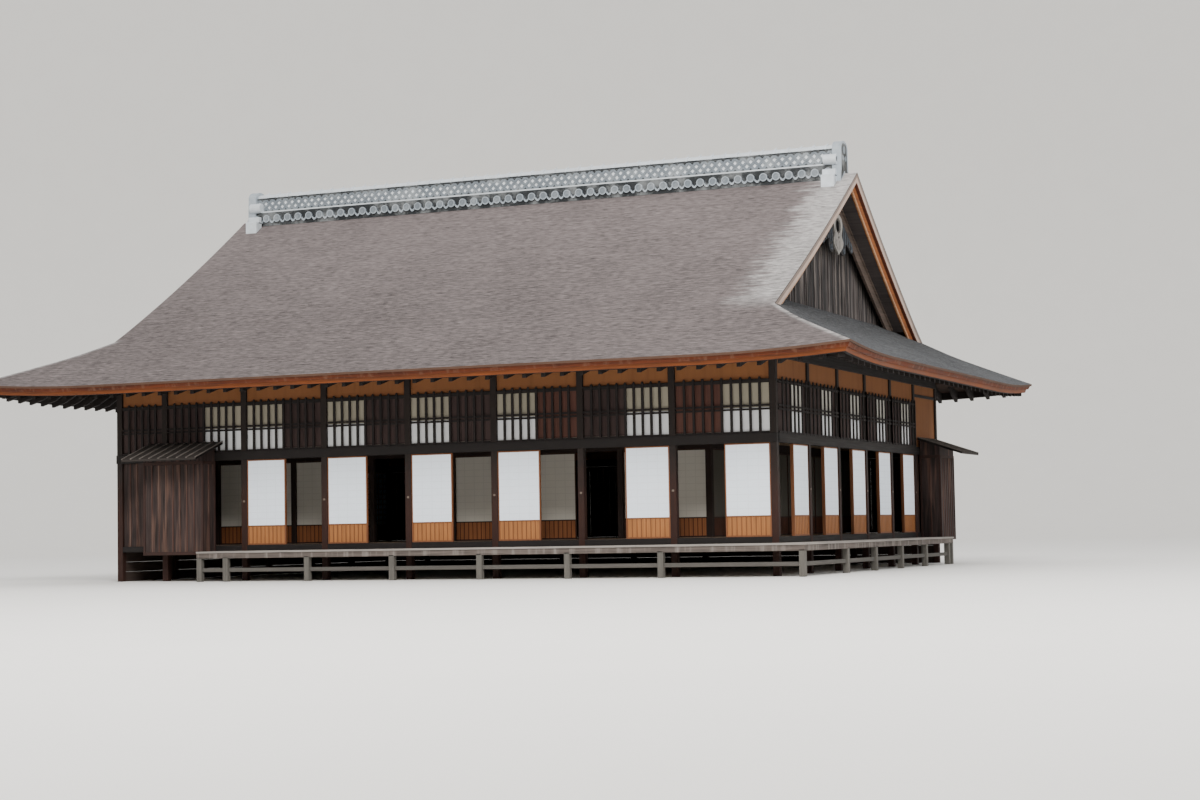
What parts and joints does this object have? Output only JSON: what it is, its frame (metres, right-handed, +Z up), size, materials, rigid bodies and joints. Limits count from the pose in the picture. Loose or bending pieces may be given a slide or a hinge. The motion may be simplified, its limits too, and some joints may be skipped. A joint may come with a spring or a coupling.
{
  "type": "timber residence hall",
  "caption": "Timber hall with a hip-and-gable shingle roof, tiled ridge, sliding paper doors, open verandah and shutter boxes.",
  "frame": {"origin": "on the ground under the middle of the eaves, at the middle of the box around the hall", "axes": "+X along the ridge to the corner nearest the viewer, +Y from the open front to the back, +Z up"},
  "size_m": [19.37, 15.12, 9.1877],
  "materials": {
    "shingle": "weathered thin wood shingles, grey-brown",
    "shingle_shade": "weathered thin wood shingles, darker green-grey",
    "orange_board": "orange-brown boards under the shingle edge",
    "dark_timber": "dark aged timber, matte",
    "grey_timber": "bare weathered timber, grey",
    "red_timber": "red-brown boards, matte",
    "gable_plank": "dark upright planks with pale streaks",
    "ochre_plaster": "smooth ochre plaster, matte",
    "paper": "white screen paper over a fine wooden grid",
    "shaded_paper": "screen paper in the shade of the corridor",
    "roof_tile": "smoked silver-grey clay tile"
  },
  "bodies": {
    "hall": {"roof_front": "shingle", "roof_back": "shingle", "roof_right": "shingle_shade", "roof_left": "shingle_shade", "eave_fascia": "orange_board", "soffit_front": "dark_timber", "soffit_back": "dark_timber", "soffit_right": "dark_timber", "soffit_left": "dark_timber", "gable_wall_right": "gable_plank", "gable_wall_left": "gable_plank", "verge_boards_right": "orange_board", "verge_boards_left": "orange_board", "bargeboards_right": "grey_timber", "bargeboards_left": "grey_timber", "ridge_plaque_right": "roof_tile", "ridge_plaque_left": "roof_tile", "ridge_base": "roof_tile", "ridge_band": "roof_tile", "ridge_cap": "roof_tile", "front_frame": "dark_timber", "back_frame": "dark_timber", "right_frame": "dark_timber", "left_frame": "dark_timber", "front_upper_screens": "paper", "right_upper_screens": "paper", "left_upper_screens": "paper", "front_frieze": "ochre_plaster", "back_frieze": "ochre_plaster", "right_frieze": "ochre_plaster", "left_frieze": "ochre_plaster", "front_end_wall": "red_timber", "right_end_wall": "red_timber", "back_shutters": "red_timber", "left_screens": "paper", "floor": "grey_timber", "inner_frame": "dark_timber", "inner_frieze": "ochre_plaster", "inner_screens_right": "shaded_paper", "inner_screens_middle": "shaded_paper", "inner_screens_left": "shaded_paper", "inner_screens_side": "shaded_paper", "verandah_deck": "grey_timber", "verandah_frame": "grey_timber", "front_shutter_box": "red_timber", "side_shutter_box": "red_timber", "front_pent_roof": "grey_timber", "side_pent_roof": "grey_timber"},
    "front_door_1": {"front_door_1": "paper"},
    "front_door_2": {"front_door_2": "paper"},
    "front_door_3": {"front_door_3": "paper"},
    "front_door_4": {"front_door_4": "paper"},
    "front_door_5": {"front_door_5": "paper"},
    "front_door_6": {"front_door_6": "paper"},
    "front_door_7": {"front_door_7": "paper"},
    "side_door_1": {"side_door_1": "paper"},
    "side_door_2": {"side_door_2": "paper"},
    "side_door_3": {"side_door_3": "paper"},
    "side_door_4": {"side_door_4": "paper"},
    "side_door_5": {"side_door_5": "paper"}
  },
  "joints": [
    {"name": "front_door_1_slide", "type": "slide", "parent": "hall", "child": "front_door_1", "axis": [-1, 0, 0], "range_m": [0, 0.993]},
    {"name": "front_door_2_slide", "type": "slide", "parent": "hall", "child": "front_door_2", "axis": [-1, 0, 0], "range_m": [0, 0.873]},
    {"name": "front_door_3_slide", "type": "slide", "parent": "hall", "child": "front_door_3", "axis": [1, 0, 0], "range_m": [0, 0.823]},
    {"name": "front_door_4_slide", "type": "slide", "parent": "hall", "child": "front_door_4", "axis": [1, 0, 0], "range_m": [0, 0.883]},
    {"name": "front_door_5_slide", "type": "slide", "parent": "hall", "child": "front_door_5", "axis": [1, 0, 0], "range_m": [0, 0.893]},
    {"name": "front_door_6_slide", "type": "slide", "parent": "hall", "child": "front_door_6", "axis": [1, 0, 0], "range_m": [0, 0.873]},
    {"name": "front_door_7_slide", "type": "slide", "parent": "hall", "child": "front_door_7", "axis": [1, 0, 0], "range_m": [0, 0.913]},
    {"name": "side_door_1_slide", "type": "slide", "parent": "hall", "child": "side_door_1", "axis": [0, -1, 0], "range_m": [0, 0.923]},
    {"name": "side_door_2_slide", "type": "slide", "parent": "hall", "child": "side_door_2", "axis": [0, -1, 0], "range_m": [0, 0.923]},
    {"name": "side_door_3_slide", "type": "slide", "parent": "hall", "child": "side_door_3", "axis": [0, -1, 0], "range_m": [0, 0.923]},
    {"name": "side_door_4_slide", "type": "slide", "parent": "hall", "child": "side_door_4", "axis": [0, -1, 0], "range_m": [0, 0.923]},
    {"name": "side_door_5_slide", "type": "slide", "parent": "hall", "child": "side_door_5", "axis": [0, -1, 0], "range_m": [0, 0.923]}
  ]
}
